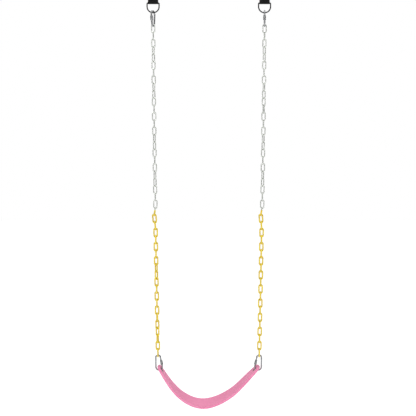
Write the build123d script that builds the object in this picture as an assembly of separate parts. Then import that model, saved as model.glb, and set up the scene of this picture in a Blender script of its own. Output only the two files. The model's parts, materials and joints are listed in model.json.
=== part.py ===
"""Belt swing seat on two partly coated chains, hung from webbing straps.

Millimetres. +X runs along the supporting beam, -Y is the front, +Z is up.
The origin is on the beam's axis, midway between the two strap eyes.
"""
from math import asin, atan2, cos, degrees, hypot, radians, sin
import os

from build123d import *

# Hanging straps: one piece of webbing each, sewn into an eye for the beam and a loop for the ring
STRAP_SPACING = 540.0
BEAM_EYE_RADIUS = 25.0
WEBBING_WIDTH = 50.0
WEBBING_THICKNESS = 2.5
STRAP_DROP = 139.0
SEWN_TOP = 75.0
SEWN_BOTTOM = 127.0
STITCH_WIDTH = 1.2
STITCH_HEIGHT = 0.5
STITCH_MARGIN = 5.0

# D-rings
RING_WIRE = 6.0
RING_HALF_WIDTH = 29.0
RING_CORNER = 4.0
RING_SIDE = 18.0
RING_LOOP_CLEARANCE = 0.2

# Locking carabiners, 80 mm long in 8 mm wire
CARABINER_LENGTH = 80.0
CARABINER_WIRE = 8.0
NARROW_RADIUS = 11.0
WIDE_RADIUS = 16.0
SHOULDER_AT = 3.5
PIN_AT = 8.0
GATE_END = 37.9
NOSE_AT = 38.5
TONGUE_RADIUS = 3.6
TONGUE_THICKNESS = 4.0
SLOT_WIDTH = 4.6
SLOT_RADIUS = 4.5
PIN_RADIUS = 1.5
PIN_HEADS = 0.4
PIN_FIT = 0.02
PIN_RUNNING_FIT = 0.05
BORE_RADIUS = 2.3
BORE_END = 28.0
PLUNGER_RADIUS = 1.9
PLUNGER_START = 11.9
PLUNGER_LENGTH = 3.0
SPRING_RADIUS = 1.7
SPRING_WIRE = 0.5
SPRING_PITCH = 2.0
SPRING_START = 15.4
SPRING_LENGTH = 12.0
SLEEVE_START = 15.5
SLEEVE_LENGTH = 22.0
SLEEVE_RADIUS = 6.5
SLEEVE_BORE = 4.3
SLEEVE_CHAMFER = 1.0
SLEEVE_FLUTES = 16
FLUTE_RADIUS = 0.7

# Chains
LINK_WIRE = 5.0
LINK_WIDTH = 21.0
LINK_PITCH = 35.44
LINK_GAP = 0.3
CARABINER_GAP = 0.9
COAT_WIRE = 7.0
COAT_AT_CROWN = 0.62
COAT_FIT = 0.02
DIPPED_LENGTH = 27.0
TOP_TILT = 0.55
BOTTOM_TILT = 1.25
STEEL_RUNS = {"upper": (1, 13), "lower": (14, 25)}
COATED_RUNS = {"upper": (26, 31), "lower": (32, 46)}
LAST_BARE_LINK = 25
LAST_LINK = 46
# The first coated links grip each other and stand a little askew: degrees towards -X going down
LEANS = {26: 9.0, 27: -4.5, 28: -4.5}
# Links that turn a little further than a quarter turn past the link above: first, last, extra degrees
EXTRA_TURNS = {
    "left": [(1, 1, -18.0), (2, 12, 18.0), (15, 24, 18.0), (33, 37, 18.0), (41, 45, 18.0)],
    "right": [(2, 13, -15.0), (15, 24, -18.0)],
}

# Belt seat
BELT_WIDTH = 140.0
BELT_THICKNESS = 9.0
END_SLOPE = {"left": 58.0, "right": 45.0}
BELT_POINTS = [(-140.0, -2033.5), (-22.0, -2079.0), (93.0, -2037.0)]
# Half widths of the belt at distances along the beam from its middle, and the reach of its round tips
BELT_PLAN = [(250.0, 33.0), (229.0, 40.0), (205.0, 49.5), (174.0, 56.5), (116.0, 63.5), (0.0, 69.5)]
TIP_REACH = 28.0
TIP_HALF_WIDTH = 41.0
EYELET_BORE = 10.0
EYELET_WALL = 2.0
EYELET_SLACK = 1.5
INSERT_THICKNESS = 2.0
INSERT_RADIUS = 22.0
INSERT_LENGTH = 42.0
INSERT_TAIL_WIDTH = 78.0
INSERT_FIT = 0.05

SIDES = {"left": -1, "right": 1}
# How far each carabiner is turned about the line of its load
UPPER_TURN = {"left": 65.0, "right": 85.0}
LOWER_TURN = {"left": 0.0, "right": -6.0}

# Worked-out heights along the hanging line
RING_BOTTOM = -STRAP_DROP - RING_SIDE - RING_HALF_WIDTH
CARABINER_RISE = CARABINER_LENGTH - CARABINER_WIRE
ARC_STEP = WIDE_RADIUS - NARROW_RADIUS
ARC_DROP = CARABINER_RISE - NARROW_RADIUS - WIDE_RADIUS
GATE_LEAN = 2 * degrees(asin(ARC_STEP / hypot(ARC_STEP, ARC_DROP)))
CARABINER_SPAN = hypot(ARC_STEP, CARABINER_RISE)
BALANCE_TILT = degrees(asin(ARC_STEP / CARABINER_SPAN))
RING_CONTACT = (RING_WIRE + CARABINER_WIRE) / 2 + CARABINER_GAP
UPPER_CARABINER_TOP = RING_BOTTOM + RING_CONTACT
UPPER_CARABINER_BOTTOM = UPPER_CARABINER_TOP - CARABINER_SPAN
CHAIN_TOP = UPPER_CARABINER_BOTTOM + (CARABINER_WIRE + LINK_WIRE) / 2 + CARABINER_GAP
LINK_LENGTH = LINK_PITCH + LINK_GAP + LINK_WIRE
STEEL_CONTACT = LINK_WIRE + LINK_GAP
COATED_CONTACT = LINK_WIRE + 2 * COAT_AT_CROWN + LINK_GAP
LOWER_CONTACT = (LINK_WIRE + CARABINER_WIRE) / 2 + COAT_AT_CROWN + CARABINER_GAP


def swept(path, start, direction, diameter):
    """A round bar along a path."""
    section = Plane(origin=start, z_dir=direction) * Circle(diameter / 2)
    return sweep(section, path=path).solid()


def oval_ring(length, width, diameter):
    """A closed ring in the XZ plane: length and width are taken between wire centres."""
    r = width / 2
    h = length / 2 - r
    path = Wire(
        [
            Edge.make_line((-r, 0, -h), (-r, 0, h)),
            Edge.make_three_point_arc((-r, 0, h), (0, 0, h + r), (r, 0, h)),
            Edge.make_line((r, 0, h), (r, 0, -h)),
            Edge.make_three_point_arc((r, 0, -h), (0, 0, -h - r), (-r, 0, -h)),
        ]
    )
    return swept(path, (-r, 0, -h), (0, 0, 1), diameter)


# ---------------------------------------------------------------- straps and rings


def teardrop(radius, top, bottom, half_width):
    """A circle at height top, drawn out in straight flanks to half_width at height bottom."""
    side = asin((radius - half_width) / (top - bottom))
    edge_y = radius * cos(side)
    edge_z = top + radius * sin(side)
    flank = Polygon(
        (-edge_y, edge_z), (edge_y, edge_z), (half_width, bottom), (-half_width, bottom), align=None
    )
    return Pos(0, top) * Circle(radius) + flank


def strap(side):
    """One webbing strap: both plies lie together between the beam eye and the ring loop."""
    loop = RING_WIRE / 2 + RING_LOOP_CLEARANCE
    ply = WEBBING_THICKNESS
    outline = teardrop(BEAM_EYE_RADIUS + ply, 0, -SEWN_TOP, ply)
    outline += teardrop(loop + ply, -STRAP_DROP, -SEWN_BOTTOM, ply)
    outline += Pos(0, -(SEWN_TOP + SEWN_BOTTOM) / 2) * Rectangle(2 * ply, SEWN_BOTTOM - SEWN_TOP)
    outline -= teardrop(BEAM_EYE_RADIUS, 0, -SEWN_TOP, 0.05)
    outline -= teardrop(loop, -STRAP_DROP, -SEWN_BOTTOM, 0.05)
    body = extrude(Plane.YZ * outline, amount=WEBBING_WIDTH / 2, both=True)
    return Pos(side * STRAP_SPACING / 2, 0, 0) * body.solid()


def strap_stitching(side):
    """A sewn box with a cross in it, on each face of the doubled webbing."""
    width = WEBBING_WIDTH - 2 * STITCH_MARGIN
    height = SEWN_BOTTOM - SEWN_TOP - 2 * STITCH_MARGIN
    box = Rectangle(width, height) - Rectangle(width - 2 * STITCH_WIDTH, height - 2 * STITCH_WIDTH)
    for lean in (-1, 1):
        turn = lean * degrees(asin(height / hypot(width, height)))
        box += Rot(0, 0, turn) * Rectangle(hypot(width, height) - 2 * STITCH_WIDTH, STITCH_WIDTH)
    centre = Pos(side * STRAP_SPACING / 2, 0, -(SEWN_TOP + SEWN_BOTTOM) / 2)
    front = extrude(Plane.XZ.offset(WEBBING_THICKNESS) * box, amount=STITCH_HEIGHT)
    back = extrude(Plane.XZ.offset(-WEBBING_THICKNESS) * box, amount=-STITCH_HEIGHT)
    return [centre * front.solid(), centre * back.solid()]


def d_ring(side):
    """A welded ring: a straight bar in the strap's loop, two short sides and a half circle."""
    w, c = RING_HALF_WIDTH, RING_CORNER
    knee = c * (1 - cos(radians(45)))
    path = Wire(
        [
            Edge.make_line((-w + c, 0, 0), (w - c, 0, 0)),
            Edge.make_three_point_arc((w - c, 0, 0), (w - knee, 0, -knee), (w, 0, -c)),
            Edge.make_line((w, 0, -c), (w, 0, -RING_SIDE)),
            Edge.make_three_point_arc((w, 0, -RING_SIDE), (0, 0, -RING_SIDE - w), (-w, 0, -RING_SIDE)),
            Edge.make_line((-w, 0, -RING_SIDE), (-w, 0, -c)),
            Edge.make_three_point_arc((-w, 0, -c), (-w + knee, 0, -knee), (-w + c, 0, 0)),
        ]
    )
    ring = swept(path, (-w + c, 0, 0), (1, 0, 0), RING_WIRE)
    return Pos(side * STRAP_SPACING / 2, 0, -STRAP_DROP) * ring


# ---------------------------------------------------------------- carabiners
# In a carabiner's own frame the narrow end's wire centre is the origin, the back runs down
# at -X and the gate leans down at +X. Places on the gate line count from its upper end.


def gate_place(along, across=0.0):
    """The point on the gate line, along it from its upper end and across it, as (x, z)."""
    lean = radians(GATE_LEAN)
    x = NARROW_RADIUS * cos(lean) + along * sin(lean) + across * cos(lean)
    z = NARROW_RADIUS * (sin(lean) - 1) - along * cos(lean) + across * sin(lean)
    return x, z


def on_gate(shape, along):
    """Stands a shape that was made along -Z on the gate line."""
    x, z = gate_place(along)
    return Pos(x, 0, z) * Rot(0, -GATE_LEAN, 0) * shape


def gate_rod(radius, start, end):
    """A round bar on the gate line between two places."""
    bar = Pos(0, 0, (start - end) / 2) * Cylinder(radius, end - start)
    return on_gate(bar, start)


def gate_profile(shape, thickness):
    """A plate around the gate pin, drawn with the pin at (0, 0) and the nose towards -Y."""
    plate = extrude(Plane.XZ * shape, amount=thickness / 2, both=True)
    return on_gate(plate, PIN_AT)


def pin_bar(radius, length):
    """A round bar along the gate pin."""
    return on_gate(Rot(90, 0, 0) * Cylinder(radius, length), PIN_AT)


def carabiner_frame():
    """The bent wire: tongue for the gate, narrow bend, back, wide bend and nose."""
    gate_line = hypot(ARC_STEP, ARC_DROP) * cos(radians(GATE_LEAN / 2))
    points = {
        name: (gate_place(along)[0], 0, gate_place(along)[1])
        for name, along in (("shoulder", SHOULDER_AT), ("top", 0), ("bottom", gate_line), ("nose", NOSE_AT))
    }
    back_top = (-NARROW_RADIUS, 0, -NARROW_RADIUS)
    back_bottom = (-NARROW_RADIUS, 0, -NARROW_RADIUS - ARC_DROP)
    path = Wire(
        [
            Edge.make_line(points["shoulder"], points["top"]),
            Edge.make_three_point_arc(points["top"], (0, 0, 0), back_top),
            Edge.make_line(back_top, back_bottom),
            Edge.make_three_point_arc(back_bottom, (ARC_STEP, 0, -CARABINER_RISE), points["bottom"]),
            Edge.make_line(points["bottom"], points["nose"]),
        ]
    )
    lean = radians(GATE_LEAN)
    frame = swept(path, points["shoulder"], (-sin(lean), 0, cos(lean)), CARABINER_WIRE)
    neck = PIN_AT - SHOULDER_AT + 1
    tongue = Circle(TONGUE_RADIUS) + Pos(0, neck / 2) * Rectangle(2 * TONGUE_RADIUS, neck)
    frame += gate_profile(tongue, TONGUE_THICKNESS)
    frame -= pin_bar(PIN_RADIUS + PIN_FIT, CARABINER_WIRE)
    return frame.solid()


def carabiner_gate():
    """The gate: forked round the tongue, bored for its spring and plunger."""
    radius = CARABINER_WIRE / 2
    reach = GATE_END - PIN_AT
    side = Circle(radius) + Pos(0, -reach / 2) * Rectangle(2 * radius, reach)
    gate = gate_rod(radius, PIN_AT - radius, GATE_END) & gate_profile(side, CARABINER_WIRE)
    slot = Circle(SLOT_RADIUS) + Pos(0, SLOT_RADIUS) * Rectangle(2 * SLOT_RADIUS, 2 * SLOT_RADIUS)
    gate -= gate_profile(slot, SLOT_WIDTH)
    gate -= pin_bar(PIN_RADIUS + PIN_RUNNING_FIT, CARABINER_WIRE)
    gate -= gate_rod(BORE_RADIUS, PIN_AT, BORE_END)
    return gate.solid()


def gate_pin():
    """The rivet that the gate turns on."""
    return pin_bar(PIN_RADIUS, CARABINER_WIRE + PIN_HEADS).solid()


def gate_plunger():
    """The plunger that the spring holds against the tongue."""
    return gate_rod(PLUNGER_RADIUS, PLUNGER_START, PLUNGER_START + PLUNGER_LENGTH).solid()


def gate_spring():
    """The coil spring inside the gate."""
    coil = Edge.make_helix(SPRING_PITCH, SPRING_LENGTH, SPRING_RADIUS)
    spring = swept(Wire([coil]), coil @ 0, coil % 0, SPRING_WIRE)
    return on_gate(Rot(180, 0, 0) * spring, SPRING_START).solid()


def locking_sleeve():
    """The fluted sleeve, screwed back so that the gate can open."""
    body = Cylinder(SLEEVE_RADIUS, SLEEVE_LENGTH)
    body = chamfer(body.edges().filter_by(GeomType.CIRCLE), SLEEVE_CHAMFER)
    body -= Cylinder(SLEEVE_BORE, SLEEVE_LENGTH)
    for place in PolarLocations(SLEEVE_RADIUS + FLUTE_RADIUS / 2, SLEEVE_FLUTES):
        body -= place * Cylinder(FLUTE_RADIUS, SLEEVE_LENGTH)
    return on_gate(Pos(0, 0, -SLEEVE_LENGTH / 2) * body, SLEEVE_START).solid()


CARABINER_PIECES = {
    "frame": carabiner_frame,
    "gate": carabiner_gate,
    "gate_pin": gate_pin,
    "gate_plunger": gate_plunger,
    "gate_spring": gate_spring,
    "locking_sleeve": locking_sleeve,
}


def upper_place(name):
    """Wide end up on the D-ring, tilted so that both its ends bear on one plumb line."""
    x = SIDES[name] * STRAP_SPACING / 2
    hang = Pos(x, 0, UPPER_CARABINER_BOTTOM) * Rot(0, 0, UPPER_TURN[name])
    return hang * Rot(0, 180 + BALANCE_TILT, 0)


def lower_place(name, hanging_point):
    """Narrow end up in the last link, with its back outwards."""
    slope = radians(END_SLOPE[name])
    reach_x = ARC_STEP + WIDE_RADIUS * cos(slope)
    reach_z = CARABINER_RISE - WIDE_RADIUS + WIDE_RADIUS * sin(slope)
    load_tilt = degrees(atan2(reach_x, reach_z))
    outwards = 0 if name == "left" else 180
    turned = Rot(0, -load_tilt, 0) * Rot(0, 0, LOWER_TURN[name]) * Rot(0, load_tilt, 0)
    return Pos(hanging_point[0], 0, hanging_point[1]) * Rot(0, 0, outwards) * turned


# ---------------------------------------------------------------- chains


def link_turn(name, number):
    """How far a link is turned about the chain, in degrees."""
    extra = 0.0
    for first, last, degrees_each in EXTRA_TURNS[name]:
        extra += degrees_each * max(0, min(number, last) - first + 1)
    return (90.0 * (number - 1) + extra) % 180.0


def link_way(name, number):
    """The direction down a link, as (x, z), and its tilt off the plumb line in degrees."""
    tilt = TOP_TILT + (BOTTOM_TILT - TOP_TILT) * (number - 1) / (LAST_LINK - 1)
    tilt += SIDES[name] * LEANS.get(number, 0.0)
    return (-SIDES[name] * sin(radians(tilt)), -cos(radians(tilt))), tilt


def link_places(name):
    """For each link: its place, and its upper and lower wire centres as (x, z)."""
    side = SIDES[name]
    x, z = side * STRAP_SPACING / 2, CHAIN_TOP
    places = {}
    for number in range(1, LAST_LINK + 1):
        way, tilt = link_way(name, number)
        end = (x + LINK_LENGTH * way[0], z + LINK_LENGTH * way[1])
        middle = Pos((x + end[0]) / 2, 0, (z + end[1]) / 2)
        place = middle * Rot(0, side * tilt, 0) * Rot(0, 0, link_turn(name, number))
        places[number] = (place, (x, z), end)
        # The next link bears along the axis of whichever of the two lies flatter to the front
        flatter = min((number, number + 1), key=lambda n: abs(sin(radians(link_turn(name, n)))))
        bearing = link_way(name, flatter)[0]
        overlap = COATED_CONTACT if number > LAST_BARE_LINK else STEEL_CONTACT
        x, z = end[0] - overlap * bearing[0], end[1] - overlap * bearing[1]
    return places


def chain_end(name):
    """Where the lower carabiner's wire centre hangs in the last link, as (x, z)."""
    x, z = link_places(name)[LAST_LINK][2]
    return x, z + LOWER_CONTACT


def steel_link():
    """One welded link of round steel."""
    return oval_ring(LINK_LENGTH, LINK_WIDTH - LINK_WIRE, LINK_WIRE)


def link_coat():
    """The plastic coat of one link, thin where the next link bears on it and full outside."""
    stretch = COAT_WIRE - LINK_WIRE - 2 * COAT_AT_CROWN
    outer = oval_ring(LINK_LENGTH + stretch, LINK_WIDTH - LINK_WIRE, COAT_WIRE)
    return outer - oval_ring(LINK_LENGTH, LINK_WIDTH - LINK_WIRE, LINK_WIRE + 2 * COAT_FIT)


def dipped_coat():
    """The coat of the first coated link, which ends at the dip line."""
    height = 2 * LINK_LENGTH
    bare = Pos(0, 0, DIPPED_LENGTH - LINK_LENGTH / 2 + height / 2) * Box(height, height, height)
    return (link_coat() - bare).solid()


# ---------------------------------------------------------------- belt seat


def hole_frame(name):
    """The centre and slope of a belt end's hole, as (x, z, slope in degrees)."""
    x, z = chain_end(name)
    slope = END_SLOPE[name]
    reach = WIDE_RADIUS - CARABINER_WIRE / 2 - EYELET_SLACK + EYELET_BORE
    inward = -SIDES[name]
    bend_x = x + inward * ARC_STEP
    bend_z = z - NARROW_RADIUS - ARC_DROP
    return bend_x + inward * reach * cos(radians(slope)), bend_z - reach * sin(radians(slope)), slope


def end_place(name):
    """A belt end's frame: its origin in the hole, +X towards the tip and +Z up through the belt."""
    x, z, slope = hole_frame(name)
    turn = 180 if name == "left" else 0
    return Pos(x, 0, z) * Rot(0, 0, turn) * Rot(0, -slope, 0)


def belt_line():
    """The middle line of the belt from tip to tip, in the XZ plane."""
    left_x, left_z, left_slope = hole_frame("left")
    right_x, right_z, right_slope = hole_frame("right")
    left_way = Vector(cos(radians(left_slope)), 0, -sin(radians(left_slope)))
    right_way = Vector(cos(radians(right_slope)), 0, sin(radians(right_slope)))
    left = Vector(left_x, 0, left_z)
    right = Vector(right_x, 0, right_z)
    curve = Edge.make_spline(
        [left] + [Vector(x, 0, z) for x, z in BELT_POINTS] + [right], tangents=[left_way, right_way]
    )
    left_tip = Edge.make_line(left - left_way * TIP_REACH, left)
    right_tip = Edge.make_line(right, right + right_way * TIP_REACH)
    return Wire([left_tip, curve, right_tip])


def belt_plan():
    """The belt seen from above, run on a little past its tips."""
    outwards = [(-x, y) for x, y in BELT_PLAN]
    points = outwards + [(x, y) for x, y in reversed(BELT_PLAN[:-1])]
    back = Edge.make_spline([Vector(x, y, 0) for x, y in points])
    front = Edge.make_spline([Vector(x, -y, 0) for x, y in points])
    ends = [Edge.make_line(back @ 1, front @ 1), Edge.make_line(front @ 0, back @ 0)]
    return Face(Wire([back, ends[0], front, ends[1]]))


def tip_waste():
    """What is cut from the band beyond a hole, in the belt end's plan."""
    blank = Pos(TIP_REACH, 0) * Rectangle(2 * TIP_REACH, 2 * BELT_WIDTH)
    return blank - Ellipse(TIP_REACH, TIP_HALF_WIDTH)


def insert_outline(margin=0.0):
    """The steel insert in plan: a disc round the eyelet with a widening tail."""
    tail = Polygon(
        (-INSERT_LENGTH - margin, -INSERT_TAIL_WIDTH / 2 - margin),
        (0, -INSERT_RADIUS - margin),
        (0, INSERT_RADIUS + margin),
        (-INSERT_LENGTH - margin, INSERT_TAIL_WIDTH / 2 + margin),
        align=None,
    )
    return tail + Circle(INSERT_RADIUS + margin)


def end_insert(name):
    """The steel plate moulded into a belt end."""
    eyelet = EYELET_BORE + EYELET_WALL + INSERT_FIT
    plate = extrude(insert_outline() - Circle(eyelet), amount=INSERT_THICKNESS / 2, both=True)
    return end_place(name) * plate.solid()


def end_eyelet(name):
    """The steel bush that the carabiner bears on."""
    tube = Cylinder(EYELET_BORE + EYELET_WALL, BELT_THICKNESS) - Cylinder(EYELET_BORE, BELT_THICKNESS)
    return end_place(name) * tube.solid()


def belt():
    """The moulded belt, with its tapered ends, holes and the pockets that hold the inserts."""
    line = belt_line()
    half = BELT_THICKNESS / 2
    start, way = line @ 0, line % 0
    across = Plane(origin=start, x_dir=(0, 1, 0), z_dir=way)
    band = sweep(across * Rectangle(BELT_WIDTH, 2 * half), path=line).solid()
    band = band & extrude(Pos(0, 0, start.Z) * belt_plan(), amount=2 * BELT_WIDTH, both=True)
    for name in SIDES:
        place = end_place(name)
        waste = extrude(tip_waste(), amount=4 * BELT_THICKNESS, both=True)
        pocket = extrude(insert_outline(INSERT_FIT), amount=INSERT_THICKNESS / 2 + INSERT_FIT, both=True)
        hole = Cylinder(EYELET_BORE + EYELET_WALL + PIN_FIT, 3 * BELT_THICKNESS)
        band = band - place * waste - place * pocket - place * hole
    return band.solid()


# ---------------------------------------------------------------- the nodes


def write(node, solids):
    """Writes one node: a single solid or a group of separate ones."""
    shape = solids[0] if len(solids) == 1 else Compound(children=solids)
    export_step(shape, f"parts/{node}.step")


def copies(shape, places):
    """Separate copies of a shape, one at each place."""
    return [shape.moved(place) for place in places]


def main():
    os.makedirs("parts", exist_ok=True)
    pieces = {piece: make() for piece, make in CARABINER_PIECES.items()}
    link, coat, first_coat = steel_link(), link_coat().solid(), dipped_coat()
    for name, side in SIDES.items():
        write(f"{name}_hanging_strap", [strap(side)])
        write(f"{name}_strap_stitching", strap_stitching(side))
        write(f"{name}_d_ring", [d_ring(side)])
        links = link_places(name)
        for level, place in (("upper", upper_place(name)), ("lower", lower_place(name, chain_end(name)))):
            for piece, shape in pieces.items():
                write(f"{name}_{level}_carabiner_{piece}", copies(shape, [place]))
        for level, (first, last) in STEEL_RUNS.items():
            write(f"{name}_{level}_steel_chain", copies(link, [links[n][0] for n in range(first, last + 1)]))
        for level, (first, last) in COATED_RUNS.items():
            places = {n: links[n][0] for n in range(first, last + 1)}
            write(f"{name}_{level}_coated_chain_core", copies(link, places.values()))
            coats = [(first_coat if n == LAST_BARE_LINK + 1 else coat).moved(p) for n, p in places.items()]
            write(f"{name}_{level}_chain_coating", coats)
        write(f"{name}_end_insert", [end_insert(name)])
        write(f"{name}_end_eyelet", [end_eyelet(name)])
    write("seat_belt", [belt()])
    print("belt length", round(belt_line().length, 1))
    print("chain end", [round(v, 2) for v in chain_end("left")])
    for number in (STEEL_RUNS["upper"][1], STEEL_RUNS["lower"][1], COATED_RUNS["upper"][1]):
        print("bend below link", number, [round(v, 2) for v in link_places("left")[number][2]])


main()
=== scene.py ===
"""The look of the belt swing: every finish, and modelled webbing, stitching, welds and belt.

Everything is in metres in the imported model's frame: +X along the beam, -Y the front, +Z up.
"""

import json
import math

import bmesh
import bpy
import numpy as np
from mathutils import Matrix, Vector
from mathutils.bvhtree import BVHTree


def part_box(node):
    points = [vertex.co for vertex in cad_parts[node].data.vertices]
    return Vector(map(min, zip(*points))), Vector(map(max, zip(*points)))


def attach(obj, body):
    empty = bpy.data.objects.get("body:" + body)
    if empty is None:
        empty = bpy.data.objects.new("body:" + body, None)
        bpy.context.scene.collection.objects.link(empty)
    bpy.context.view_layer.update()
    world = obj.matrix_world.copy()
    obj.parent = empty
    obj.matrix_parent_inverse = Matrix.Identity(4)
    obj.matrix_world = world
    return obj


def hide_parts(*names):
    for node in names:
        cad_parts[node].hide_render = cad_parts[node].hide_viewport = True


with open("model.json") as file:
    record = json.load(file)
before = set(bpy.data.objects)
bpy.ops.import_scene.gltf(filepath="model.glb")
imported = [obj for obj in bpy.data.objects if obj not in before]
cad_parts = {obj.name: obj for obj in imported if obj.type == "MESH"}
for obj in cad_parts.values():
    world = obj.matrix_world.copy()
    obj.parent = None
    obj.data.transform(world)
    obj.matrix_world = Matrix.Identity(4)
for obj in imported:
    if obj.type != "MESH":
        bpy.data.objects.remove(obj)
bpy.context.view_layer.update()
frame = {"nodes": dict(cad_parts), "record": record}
nodes = frame["nodes"]
body_of = {
    node: body for body, members in frame["record"]["behaviour"]["bodies"].items() for node in members
}
SIDES = ("left", "right")
LEVELS = ("upper", "lower")

# Webbing strap, as in the model
EYE_RADIUS = 0.025
PLY = 0.0025
SEWN_TOP = -0.075
SEWN_BOTTOM = -0.127
RING_BAR_HEIGHT = -0.139
RING_LOOP_RADIUS = 0.0032
WEBBING_WIDTH = 0.050
SELVEDGE = 0.0022
PLY_GAP = 0.00008
WEBBING_FLAT = 0.93
EYE_STEPS = 44
LOOP_STEPS = 18
FLANK_STEPS = 12

# Stitches
STITCH_PITCH = 0.0040
STITCH_LENGTH = 0.0033
STITCH_RADIUS = 0.00050
STITCH_SIDES = 8
SEAM_ROW_GAP = 0.0024
CROSS_INSET = 0.004

# Chain links
LINK_LEG_OFFSET = 0.008
LINK_WIRE_RADIUS = 0.0025
WELD_LENGTH = 0.0050
WELD_HEIGHT = 0.00035
WELD_SIDES = 16
WELD_RINGS = 9
WELD_RIPPLE = 0.25
WELD_SUNK = -0.0001

# Belt, as in the model
# Half widths at distances from the middle
BELT_PLAN = (
    (0.0, 0.0695),
    (0.116, 0.0635),
    (0.174, 0.0565),
    (0.205, 0.0495),
    (0.229, 0.040),
    (0.250, 0.033),
)
PLAN_SMOOTHING = 0.018
TIP_REACH = 0.028
TIP_HALF_WIDTH = 0.041
BELT_HALF_THICKNESS = 0.0045
EYELET_RADIUS = 0.012
EDGE_ROUND = 0.0018
RIM_WIDTH = 0.0050
RIM_HEIGHT = 0.0007
BELT_SAMPLES = 90
LINE_SMOOTHINGS = 3
BESIDE_HOLE = 0.010
WAY_REACH = 0.006
TIP_STATIONS = (0.00015, 0.0004, 0.0008, 0.0013, 0.0020, 0.0030, 0.0042, 0.0056, 0.0072)
FINE_START = 0.009
FINE_END = 0.102
FINE_STEP = 0.0022
MIDDLE_STATIONS = 90
HOLE_FIT = 0.0001
DRILL_LENGTH = 0.04

# Studio
CAMERA_PLACE = (-0.004, -3.0, -1.132)
CAMERA_LENS = 53.6
FLOOR_HEIGHT = -2.45
FLOOR_SIZE = 60.0
LIT_MIDDLE = (0, 0, -1.3)
# Soft lights: name, place, size and power
LIGHTS = (
    ("key", (-1.8, -2.6, 0.6), (1.2, 2.4), 42.0),
    ("fill", (2.4, -2.2, -0.8), (0.8, 2.4), 16.0),
    ("top", (0.3, 0.2, 1.2), (2.0, 1.2), 26.0),
)
# The room's greys from straight down to straight up
ROOM_GREYS = ((0.0, 0.75), (0.42, 0.62), (0.5, 0.10), (0.6, 0.22), (0.75, 0.85), (1.0, 1.0))
BACKDROP_LEVEL = 1.0
ROOM_LEVEL = 0.85
FLOOR_GLOW = 0.45


# ---------------------------------------------------------------- materials


class Finish:
    """A node material, with short names for the nodes that the finishes share."""

    def __init__(self, name, **settings):
        self.material = bpy.data.materials.new(name)
        self.material.use_nodes = True
        self.tree = self.material.node_tree
        self.shader = self.tree.nodes["Principled BSDF"]
        for socket, value in settings.items():
            self.shader.inputs[socket.replace("_", " ")].default_value = value

    def add(self, kind, **settings):
        node = self.tree.nodes.new(kind)
        for name, value in settings.items():
            setattr(node, name, value)
        return node

    def link(self, out, into):
        self.tree.links.new(out, into)

    def place(self, stretch=(1, 1, 1), source="Object"):
        """Texture coordinates, scaled along each axis."""
        coords = self.add("ShaderNodeTexCoord")
        mapping = self.add("ShaderNodeMapping")
        mapping.inputs["Scale"].default_value = stretch
        self.link(coords.outputs[source], mapping.inputs["Vector"])
        return mapping.outputs["Vector"]

    def noise(self, scale, detail=3.0, stretch=(1, 1, 1), source="Object"):
        texture = self.add("ShaderNodeTexNoise")
        texture.inputs["Scale"].default_value = scale
        texture.inputs["Detail"].default_value = detail
        self.link(self.place(stretch, source), texture.inputs["Vector"])
        return texture.outputs["Fac"]

    def ramp(self, value, low, high, start=0.3, end=0.7):
        """Colours or greys from low at start to high at end."""
        ramp = self.add("ShaderNodeValToRGB")
        ends = ((ramp.color_ramp.elements[0], low, start), (ramp.color_ramp.elements[1], high, end))
        for element, colour, position in ends:
            element.position = position
            element.color = (*colour, 1.0) if isinstance(colour, tuple) else (colour, colour, colour, 1.0)
        self.link(value, ramp.inputs["Fac"])
        return ramp.outputs["Color"]

    def mix(self, factor, first, second, blend_type="MIX"):
        node = self.add("ShaderNodeMix", data_type="RGBA", blend_type=blend_type)
        for value, socket in ((factor, node.inputs[0]), (first, node.inputs[6]), (second, node.inputs[7])):
            if isinstance(value, (float, tuple)):
                socket.default_value = value
            else:
                self.link(value, socket)
        return node.outputs[2]

    def math(self, operation, first, second):
        node = self.add("ShaderNodeMath", operation=operation)
        for value, socket in ((first, node.inputs[0]), (second, node.inputs[1])):
            if isinstance(value, float):
                socket.default_value = value
            else:
                self.link(value, socket)
        return node.outputs[0]

    def colour(self, value):
        self.link(value, self.shader.inputs["Base Color"])

    def roughness(self, value):
        self.link(value, self.shader.inputs["Roughness"])

    def bump(self, height, strength, distance):
        bump = self.add("ShaderNodeBump")
        bump.inputs["Strength"].default_value = strength
        bump.inputs["Distance"].default_value = distance
        self.link(height, bump.inputs["Height"])
        self.link(bump.outputs["Normal"], self.shader.inputs["Normal"])


def steel(name, dark, light, smooth, rough, grain, dents):
    """Plated or galvanised steel: mottled in tone and gloss, faintly dented."""
    finish = Finish(name, Metallic=1.0)
    mottle = finish.noise(grain, 5.0)
    finish.colour(finish.ramp(mottle, dark, light))
    finish.roughness(finish.ramp(finish.noise(grain * 2.3, 4.0), smooth, rough))
    finish.bump(finish.noise(grain * 1.4, 4.0), dents, 0.0004)
    return finish.material


def vinyl():
    """Dip-moulded yellow vinyl, thick and glossy with a soft uneven skin."""
    finish = Finish(
        "yellow_vinyl",
        Subsurface_Weight=0.25,
        Subsurface_Radius=(0.004, 0.0025, 0.0008),
        Subsurface_Scale=1.0,
        Coat_Weight=0.5,
        Coat_Roughness=0.12,
        IOR=1.5,
    )
    patches = finish.noise(60.0, 3.0)
    finish.colour(finish.ramp(patches, (0.62, 0.45, 0.010), (0.78, 0.58, 0.025)))
    finish.roughness(finish.ramp(finish.noise(180.0, 3.0), 0.22, 0.36))
    finish.bump(finish.noise(140.0, 2.0), 0.25, 0.0006)
    return finish.material


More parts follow.
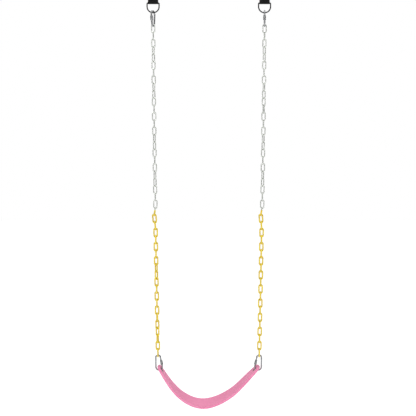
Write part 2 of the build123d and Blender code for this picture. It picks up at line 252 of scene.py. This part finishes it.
def belt_rubber():
    """Pink moulded EVA: faint streaks along the belt, fine grain and scuffed patches."""
    finish = Finish("pink_eva", Sheen_Weight=0.12, Sheen_Roughness=0.4, Specular_IOR_Level=0.4)
    streaks = finish.noise(9.0, 6.0, (1.0, 26.0, 1.0))
    pink = finish.ramp(streaks, (0.72, 0.20, 0.365), (0.80, 0.26, 0.435))
    scuffs = finish.ramp(finish.noise(22.0, 6.0, (0.6, 3.0, 0.6)), 0.0, 0.35, 0.52, 0.78)
    finish.colour(finish.mix(scuffs, pink, (0.78, 0.36, 0.49, 1.0)))
    finish.roughness(finish.ramp(finish.noise(60.0, 5.0, (0.5, 4.0, 0.5)), 0.42, 0.60))
    grain = finish.noise(1500.0, 2.0)
    lines = finish.noise(30.0, 4.0, (0.4, 14.0, 0.4))
    finish.bump(finish.math("ADD", finish.math("MULTIPLY", grain, 0.35), lines), 0.25, 0.0005)
    return finish.material


def webbing_cloth():
    """Black polyester webbing: a herringbone of ribs across, with painted shade darkening the grooves between
    the ribs, and slight dust in patches.
    """
    finish = Finish("black_webbing", Sheen_Weight=0.05, Sheen_Roughness=0.5, Specular_IOR_Level=0.15)
    across = finish.add("ShaderNodeTexWave", wave_type="BANDS", bands_direction="X")
    along = finish.add("ShaderNodeTexWave", wave_type="BANDS", bands_direction="Y")
    vector = finish.place((1, 1, 1), "UV")
    for wave, scale in ((across, 320.0), (along, 210.0)):
        wave.inputs["Scale"].default_value = scale
        wave.inputs["Distortion"].default_value = 0.6
        finish.link(vector, wave.inputs["Vector"])
    weave = finish.math("MULTIPLY", across.outputs["Fac"], along.outputs["Fac"])
    # Thread colour follows the weave's height: darker in the grooves and lighter on the ribs, which is
    # painted shade
    threads_and_groove_shade = finish.ramp(weave, (0.001, 0.001, 0.0011), (0.006, 0.006, 0.0065), 0.1, 0.9)
    dust = finish.ramp(finish.noise(45.0, 5.0), 0.0, 0.25, 0.5, 0.8)
    finish.colour(finish.mix(dust, threads_and_groove_shade, (0.009, 0.009, 0.0095, 1.0)))
    finish.roughness(finish.ramp(finish.noise(300.0, 3.0), 0.62, 0.85))
    finish.bump(weave, 0.8, 0.0005)
    return finish.material


def thread_cloth():
    """Grey bonded sewing thread with a twist."""
    finish = Finish("grey_thread", Sheen_Weight=0.3, Specular_IOR_Level=0.3)
    finish.colour(finish.ramp(finish.noise(900.0, 3.0), (0.16, 0.16, 0.17), (0.34, 0.34, 0.35)))
    finish.roughness(finish.ramp(finish.noise(700.0, 2.0), 0.5, 0.75))
    finish.bump(finish.noise(2500.0, 2.0, (1.0, 1.0, 3.0)), 0.5, 0.0002)
    return finish.material


def floor_paint():
    """Pale studio floor with a barely visible mottle."""
    finish = Finish(
        "studio_floor",
        Specular_IOR_Level=0.2,
        Emission_Color=(1.0, 1.0, 1.0, 1.0),
        Emission_Strength=FLOOR_GLOW,
    )
    finish.colour(finish.ramp(finish.noise(1.5, 3.0), (0.86, 0.86, 0.86), (0.90, 0.90, 0.90)))
    finish.roughness(finish.ramp(finish.noise(3.0, 3.0), 0.75, 0.9))
    return finish.material


finishes = {
    "ring_steel": steel("ring_dark", (0.020, 0.020, 0.021), (0.060, 0.061, 0.063), 0.22, 0.36, 90.0, 0.12),
    "carabiner_steel": steel(
        "carabiner_zinc", (0.20, 0.205, 0.21), (0.40, 0.405, 0.41), 0.18, 0.34, 110.0, 0.10
    ),
    "sleeve_steel": steel("sleeve_zinc", (0.16, 0.165, 0.17), (0.34, 0.345, 0.35), 0.22, 0.38, 140.0, 0.08),
    "chain_steel": steel("galvanised", (0.44, 0.455, 0.425), (0.70, 0.72, 0.68), 0.26, 0.46, 120.0, 0.30),
    "insert_steel": steel("insert_zinc", (0.40, 0.40, 0.40), (0.58, 0.58, 0.58), 0.30, 0.50, 120.0, 0.15),
    "eyelet_steel": steel("eyelet_zinc", (0.40, 0.40, 0.40), (0.60, 0.60, 0.60), 0.26, 0.46, 160.0, 0.15),
    "chain_coating": vinyl(),
    "belt": belt_rubber(),
    "webbing": webbing_cloth(),
    "thread": thread_cloth(),
}


def paint(obj, slot):
    """Gives a piece its one finish."""
    obj.data.materials.clear()
    obj.data.materials.append(finishes[slot])


def paint_frame():
    """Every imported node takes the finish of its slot."""
    for part in frame["record"]["subparts"]:
        paint(nodes[part["node"]], part["material_slot"])


# ---------------------------------------------------------------- mesh helpers


def make_piece(name, mesh, slot, stands_for=None, rides_with=None, crease=40.0):
    """Links a mesh as a piece on the body of the node that it stands for or goes with."""
    mesh.polygons.foreach_set("use_smooth", [True] * len(mesh.polygons))
    mesh.set_sharp_from_angle(angle=math.radians(crease))
    obj = bpy.data.objects.new(name, mesh)
    bpy.context.scene.collection.objects.link(obj)
    paint(obj, slot)
    if stands_for:
        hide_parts(stands_for)
    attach(obj, body_of[stands_for or rides_with])
    return obj


def mesh_from(name, build):
    """A mesh that build() draws into an empty bmesh."""
    bm = bmesh.new()
    build(bm)
    bmesh.ops.recalc_face_normals(bm, faces=bm.faces)
    mesh = bpy.data.meshes.new(name)
    bm.to_mesh(mesh)
    bm.free()
    return mesh


def skin_rings(bm, rings, closed=False):
    """Quads between rings of points; open runs are capped."""
    loops = [[bm.verts.new(point) for point in ring] for ring in rings]
    pairs = list(zip(loops, loops[1:]))
    if closed:
        pairs.append((loops[-1], loops[0]))
    for near, far in pairs:
        for i in range(len(near)):
            j = (i + 1) % len(near)
            bm.faces.new((near[i], near[j], far[j], far[i]))
    if not closed:
        bm.faces.new(loops[0])
        bm.faces.new(list(reversed(loops[-1])))
    return loops


# ---------------------------------------------------------------- webbing straps


def strap_route():
    """The strap's middle line in the YZ plane, once round: beam eye, flanks, sewn plies, ring loop."""
    eye = EYE_RADIUS + PLY / 2
    loop = RING_LOOP_RADIUS + PLY / 2
    half = PLY / 2 + PLY_GAP
    eye_tilt = math.asin((eye - half) / -SEWN_TOP)
    loop_tilt = math.asin((loop - half) / (SEWN_BOTTOM - RING_BAR_HEIGHT))
    front = []
    for i in range(EYE_STEPS // 2 + 1):
        angle = math.pi / 2 + (math.pi / 2 + eye_tilt) * i / (EYE_STEPS // 2)
        front.append((eye * math.cos(angle), eye * math.sin(angle)))
    start = front[-1]
    for i in range(1, FLANK_STEPS + 1):
        step = i / FLANK_STEPS
        front.append((start[0] + (-half - start[0]) * step, start[1] + (SEWN_TOP - start[1]) * step))
    for i in range(1, FLANK_STEPS + 1):
        front.append((-half, SEWN_TOP + (SEWN_BOTTOM - SEWN_TOP) * i / FLANK_STEPS))
    for i in range(LOOP_STEPS // 2 + 1):
        angle = math.pi - loop_tilt + (math.pi / 2 + loop_tilt) * i / (LOOP_STEPS // 2)
        front.append((loop * math.cos(angle), RING_BAR_HEIGHT + loop * math.sin(angle)))
    back = [(-y, z) for y, z in reversed(front[1:-1])]
    return front + back


def webbing_section():
    """Half the webbing's section as (x, half thickness), from one selvedge to the other."""
    half = WEBBING_WIDTH / 2
    thick = PLY / 2
    edge = [(half - SELVEDGE * (1 - math.cos(a)) * 0.5, thick * math.sin(a)) for a in (0.0, 0.6, 1.1)]
    flat = [(x, thick * WEBBING_FLAT) for x in np.linspace(half - 1.6 * SELVEDGE, 0, 9)[:-1]]
    side = edge + [(half - SELVEDGE * 0.8, thick)] + flat
    return [(-x, t) for x, t in side] + [(0, thick * WEBBING_FLAT)] + [(x, t) for x, t in reversed(side)]


def build_strap(side):
    """One strap, woven closed round the beam eye and the ring."""
    route = [Vector((0, y, z)) for y, z in strap_route()]
    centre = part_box(f"{side}_hanging_strap")
    middle = (centre[0][0] + centre[1][0]) / 2
    section = webbing_section()
    count = len(route)
    rings = []
    for i, point in enumerate(route):
        way = (route[(i + 1) % count] - route[i - 1]).normalized()
        out = Vector((0, way.z, -way.y))
        upper = [Vector((middle + x, 0, 0)) + point + out * t for x, t in section]
        lower = [Vector((middle + x, 0, 0)) + point - out * t for x, t in reversed(section[1:-1])]
        rings.append(upper + lower)
    mesh = mesh_from(f"{side}_webbing", lambda bm: skin_rings(bm, rings, closed=True))
    lay_weave(mesh, route, middle)
    node = f"{side}_hanging_strap"
    return make_piece(f"{side}_webbing_strap", mesh, "webbing", stands_for=node, crease=60.0)


def lay_weave(mesh, route, middle):
    """UVs in metres: across the strap, and along it."""
    along = [0.0]
    for a, b in zip(route, route[1:]):
        along.append(along[-1] + (b - a).length)
    layer = mesh.uv_layers.new(name="weave")
    ring = len(mesh.vertices) // len(route)
    for loop in mesh.loops:
        vertex = mesh.vertices[loop.vertex_index]
        layer.data[loop.index].uv = (vertex.co.x - middle, along[loop.vertex_index // ring])


def add_stitch(bm, start, end, out):
    """One stitch: a low arch of thread between two needle holes."""
    way = (end - start).normalized()
    sideways = way.cross(out)
    rings = []
    for step in (0.0, 0.12, 0.35, 0.65, 0.88, 1.0):
        rise = STITCH_RADIUS * 0.9 * math.sin(math.pi * step) - STITCH_RADIUS * 0.35
        radius = STITCH_RADIUS * (0.45 + 0.55 * math.sin(math.pi * step))
        centre = start.lerp(end, step) + out * rise
        rings.append(
            [
                centre + (sideways * math.cos(a) + out * math.sin(a)) * radius
                for a in np.linspace(0, 2 * math.pi, STITCH_SIDES, endpoint=False)
            ]
        )
    skin_rings(bm, rings)


def sew_line(bm, start, end, out):
    """A row of stitches from start to end."""
    count = max(1, round((end - start).length / STITCH_PITCH))
    pitch = (end - start) / count
    for i in range(count):
        first = start + pitch * i
        add_stitch(bm, first, first + pitch.normalized() * STITCH_LENGTH, out)


def build_stitching(side):
    """A doubled sewn box with a cross in it, on both faces of the strap."""
    node = f"{side}_strap_stitching"
    low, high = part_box(node)
    middle = (low[0] + high[0]) / 2
    half = (high[0] - low[0]) / 2

    def draw(bm):
        for face in (-1, 1):
            out = Vector((0, face, 0))
            y = face * PLY

            def at(x, z):
                return Vector((middle + x, y, z))

            for inset in (0.0, SEAM_ROW_GAP):
                w, top, bottom = half - inset, high[2] - inset, low[2] + inset
                corners = [at(-w, top), at(w, top), at(w, bottom), at(-w, bottom)]
                for i in range(4):
                    sew_line(bm, corners[i], corners[(i + 1) % 4], out)
            inner, top, bottom = half - CROSS_INSET, high[2] - CROSS_INSET, low[2] + CROSS_INSET
            sew_line(bm, at(-inner, top), at(inner, bottom), out)
            sew_line(bm, at(inner, top), at(-inner, bottom), out)

    mesh = mesh_from(f"{side}_stitches", draw)
    return make_piece(f"{side}_box_stitching", mesh, "thread", stands_for=node, crease=70.0)


# ---------------------------------------------------------------- chain welds


def link_shapes(node):
    """For each link in a chain node: its centre, and its long and wide directions."""
    bm = bmesh.new()
    bm.from_mesh(nodes[node].data)
    bmesh.ops.remove_doubles(bm, verts=bm.verts, dist=1e-6)
    seen = set()
    shapes = []
    for first in bm.verts:
        if first in seen:
            continue
        group, todo = [], [first]
        seen.add(first)
        while todo:
            vertex = todo.pop()
            group.append(vertex.co.copy())
            for edge in vertex.link_edges:
                other = edge.other_vert(vertex)
                if other not in seen:
                    seen.add(other)
                    todo.append(other)
        points = np.array(group)
        centre = (points.max(axis=0) + points.min(axis=0)) / 2
        values, vectors = np.linalg.eigh(np.cov((points - centre).T))
        shapes.append((Vector(centre), Vector(vectors[:, 2]), Vector(vectors[:, 1])))
    bm.free()
    shapes.sort(key=lambda shape: -shape[0].z)
    return shapes


def build_welds(side, level):
    """The weld bead half way down one leg of every bare link."""
    node = f"{side}_{level}_steel_chain"

    def draw(bm):
        for number, (centre, long_way, wide_way) in enumerate(link_shapes(node)):
            long_way = long_way if long_way.z > 0 else -long_way
            facing = wide_way if wide_way.x + 0.3 * wide_way.y > 0 else -wide_way
            leg = centre + facing * LINK_LEG_OFFSET
            third = long_way.cross(facing)
            rings = []
            for step in np.linspace(-1, 1, WELD_RINGS):
                swell = WELD_HEIGHT * math.cos(step * math.pi / 2) ** 0.7 if abs(step) < 1 else WELD_SUNK
                rings.append(
                    [
                        leg
                        + long_way * (step * WELD_LENGTH / 2)
                        + (facing * math.cos(a) + third * math.sin(a))
                        * (LINK_WIRE_RADIUS + swell * (1 + WELD_RIPPLE * math.sin(3 * a + number + 4 * step)))
                        for a in np.linspace(0, 2 * math.pi, WELD_SIDES, endpoint=False)
                    ]
                )
            skin_rings(bm, rings)

    mesh = mesh_from(f"{node}_welds", draw)
    return make_piece(f"{node}_weld_beads", mesh, "chain_steel", rides_with=node, crease=60.0)


# ---------------------------------------------------------------- belt


def end_frame(side):
    """The eyelet's centre, and the belt's outward direction there, in the XZ plane."""
    mesh = nodes[f"{side}_end_eyelet"].data
    points = np.array([vertex.co for vertex in mesh.vertices])
    centre = (points.max(axis=0) + points.min(axis=0)) / 2
    values, vectors = np.linalg.eigh(np.cov((points - centre).T))
    axis = Vector(vectors[:, 0])
    outward = Vector((axis.z, 0, -axis.x)).normalized()
    return Vector((centre[0], 0, centre[2])), outward if outward.z > 0 else -outward


def belt_line():
    """Points down the middle of the belt's thickness, tip to tip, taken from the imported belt."""
    (left, left_way), (right, right_way) = end_frame("left"), end_frame("right")
    mesh = nodes["seat_belt"].data
    tree = BVHTree.FromPolygons(
        [vertex.co for vertex in mesh.vertices], [tuple(face.vertices) for face in mesh.polygons]
    )
    beside_hole = EYELET_RADIUS + BESIDE_HOLE
    middle = []
    for x in np.linspace(left.x, right.x, BELT_SAMPLES + 1)[1:-1]:
        top = tree.ray_cast(Vector((x, beside_hole, 0)), Vector((0, 0, -1)))[0]
        bottom = tree.ray_cast(Vector((x, beside_hole, -10)), Vector((0, 0, 1)))[0]
        middle.append(Vector((x, 0, (top.z + bottom.z) / 2)))
    run = [left] + middle + [right]
    for _ in range(LINE_SMOOTHINGS):
        run = [run[0]] + [(a + 2 * b + c) / 4 for a, b, c in zip(run, run[1:], run[2:])] + [run[-1]]
    return [left + left_way * TIP_REACH] + run + [right + right_way * TIP_REACH]


def half_width(x, reach):
    """The belt's half width at a place along the beam that is so far in from its tip."""
    near = np.abs(x + np.linspace(-PLAN_SMOOTHING, PLAN_SMOOTHING, 7))
    plan = float(np.mean(np.interp(near, *zip(*BELT_PLAN))))
    if reach < TIP_REACH:
        plan = min(plan, TIP_HALF_WIDTH * math.sqrt(max(0.0, 1 - (1 - reach / TIP_REACH) ** 2)))
    return plan


def half_thickness(reach):
    """Half the belt's thickness at a distance in from its rounded tip."""
    ease = min(reach, EDGE_ROUND)
    return BELT_HALF_THICKNESS - EDGE_ROUND + math.sqrt(EDGE_ROUND**2 - (EDGE_ROUND - ease) ** 2)


def belt_section(half, thick):
    """The belt's section as (across, through) points: a rim along each edge and rounded corners."""
    round_off = min(EDGE_ROUND, half * 0.4, thick * 0.6)
    rim = min(RIM_WIDTH, half * 0.3)
    lift = RIM_HEIGHT * min(1.0, half / TIP_HALF_WIDTH)
    corner = [
        (half - round_off + round_off * math.sin(a), thick + lift - round_off + round_off * math.cos(a))
        for a in np.linspace(0, math.pi / 2, 5)
    ]
    inner = half - rim - 2 * lift
    flat = [(x, thick) for x in np.linspace(0, inner, 12)]
    quarter = flat[1:] + [(half - rim, thick + lift * 0.85), (half - rim * 0.6, thick + lift)] + corner
    top = [(-x, t) for x, t in reversed(quarter)] + [flat[0]] + quarter
    bottom = [(x, -t) for x, t in reversed(top)]
    return top + bottom


def belt_stations(length):
    """Distances along the belt: close together at the tips, wider in the middle."""
    near = list(np.arange(FINE_START, FINE_END, FINE_STEP))
    start = list(TIP_STATIONS) + near
    middle = list(np.linspace(near[-1], length - near[-1], MIDDLE_STATIONS)[1:-1])
    return start + middle + [length - s for s in reversed(start)]


def build_belt():
    """The belt, swept along its line and bored for the eyelets."""
    line = belt_line()
    lengths = np.cumsum([0.0] + [(b - a).length for a, b in zip(line, line[1:])])
    total = float(lengths[-1])
    xs = np.array([p.x for p in line])
    zs = np.array([p.z for p in line])

    def at(distance):
        return Vector((np.interp(distance, lengths, xs), 0, np.interp(distance, lengths, zs)))

    rings = []
    for distance in belt_stations(total):
        reach = min(distance, total - distance)
        centre = at(distance)
        way = (at(min(total, distance + WAY_REACH)) - at(max(0.0, distance - WAY_REACH))).normalized()
        up = Vector((-way.z, 0, way.x))
        section = belt_section(half_width(centre.x, reach), half_thickness(reach))
        rings.append([centre + Vector((0, across, 0)) + up * through for across, through in section])
    blank = bpy.data.objects.new("belt_blank", mesh_from("belt_blank", lambda bm: skin_rings(bm, rings)))
    bpy.context.scene.collection.objects.link(blank)
    drills = [drill_hole(blank, side) for side in SIDES]
    bpy.context.view_layer.update()
    evaluated = blank.evaluated_get(bpy.context.evaluated_depsgraph_get())
    mesh = bpy.data.meshes.new_from_object(evaluated)
    mesh.name = "moulded_belt"
    for spent in drills + [blank]:
        bpy.data.objects.remove(spent)
    return make_piece("moulded_belt", mesh, "belt", stands_for="seat_belt", crease=32.0)


def drill_hole(blank, side):
    """Cuts the eyelet's hole through the belt."""
    centre, outward = end_frame(side)
    up = Vector((-outward.z, 0, outward.x))
    turn = Vector((0, 0, 1)).rotation_difference(up).to_matrix().to_4x4()
    bm = bmesh.new()
    radius = EYELET_RADIUS + HOLE_FIT
    bmesh.ops.create_cone(
        bm,
        cap_ends=True,
        segments=64,
        radius1=radius,
        radius2=radius,
        depth=DRILL_LENGTH,
        matrix=Matrix.Translation(centre) @ turn,
    )
    mesh = bpy.data.meshes.new("drill")
    bm.to_mesh(mesh)
    bm.free()
    drill = bpy.data.objects.new("drill", mesh)
    bpy.context.scene.collection.objects.link(drill)
    cut = blank.modifiers.new("hole", "BOOLEAN")
    cut.operation = "DIFFERENCE"
    cut.solver = "EXACT"
    cut.object = drill
    return drill


# ---------------------------------------------------------------- studio


def add_light(name, place, size, power):
    """A soft rectangular light that faces the middle of the swing."""
    data = bpy.data.lights.new(name, "AREA")
    data.shape = "RECTANGLE"
    data.size, data.size_y = size
    data.energy = power
    lamp = bpy.data.objects.new(name, data)
    lamp.location = place
    lamp.rotation_euler = (Vector(LIT_MIDDLE) - Vector(place)).to_track_quat("-Z", "Y").to_euler()
    bpy.context.scene.collection.objects.link(lamp)


def build_studio():
    """Camera level with the middle of the chains, soft light all round, and a pale floor."""
    data = bpy.data.cameras.new("camera")
    data.sensor_width = 36.0
    data.lens = CAMERA_LENS
    camera = bpy.data.objects.new("camera", data)
    camera.location = CAMERA_PLACE
    camera.rotation_euler = (math.radians(90), 0, 0)
    bpy.context.scene.collection.objects.link(camera)
    bpy.context.scene.camera = camera

    mesh = mesh_from(
        "floor", lambda bm: bmesh.ops.create_grid(bm, x_segments=4, y_segments=4, size=FLOOR_SIZE)
    )
    floor = bpy.data.objects.new("floor", mesh)
    floor.location = (0, 0, FLOOR_HEIGHT)
    floor.data.materials.append(floor_paint())
    bpy.context.scene.collection.objects.link(floor)

    build_world()
    for name, place, size, power in LIGHTS:
        add_light(name, place, size, power)
    bpy.context.scene.view_settings.view_transform = "Standard"


def build_world():
    """A white room to look at, which lights and mirrors as a grey one with a bright ceiling."""
    world = bpy.data.worlds.new("studio")
    world.use_nodes = True
    tree = world.node_tree
    white = tree.nodes["Background"]
    white.inputs["Color"].default_value = (1.0, 1.0, 1.0, 1.0)
    white.inputs["Strength"].default_value = BACKDROP_LEVEL
    room = tree.nodes.new("ShaderNodeBackground")
    room.inputs["Strength"].default_value = ROOM_LEVEL
    coords = tree.nodes.new("ShaderNodeTexCoord")
    split = tree.nodes.new("ShaderNodeSeparateXYZ")
    height = tree.nodes.new("ShaderNodeMapRange")
    height.inputs["From Min"].default_value = -1.0
    ramp = tree.nodes.new("ShaderNodeValToRGB")
    for position, grey in ROOM_GREYS:
        element = ramp.color_ramp.elements.new(position)
        element.color = (grey, grey, grey, 1.0)
    ramp.color_ramp.elements.remove(ramp.color_ramp.elements[0])
    ramp.color_ramp.elements.remove(ramp.color_ramp.elements[-1])
    path = tree.nodes.new("ShaderNodeLightPath")
    choice = tree.nodes.new("ShaderNodeMixShader")
    for out, into in (
        (coords.outputs["Generated"], split.inputs["Vector"]),
        (split.outputs["Z"], height.inputs["Value"]),
        (height.outputs["Result"], ramp.inputs["Fac"]),
        (ramp.outputs["Color"], room.inputs["Color"]),
        (path.outputs["Is Camera Ray"], choice.inputs["Fac"]),
        (room.outputs["Background"], choice.inputs[1]),
        (white.outputs["Background"], choice.inputs[2]),
        (choice.outputs["Shader"], tree.nodes["World Output"].inputs["Surface"]),
    ):
        tree.links.new(out, into)
    bpy.context.scene.world = world


# ---------------------------------------------------------------- putting it together

build_studio()
paint_frame()
for side in SIDES:
    build_strap(side)
    build_stitching(side)
    for level in LEVELS:
        build_welds(side, level)
build_belt()
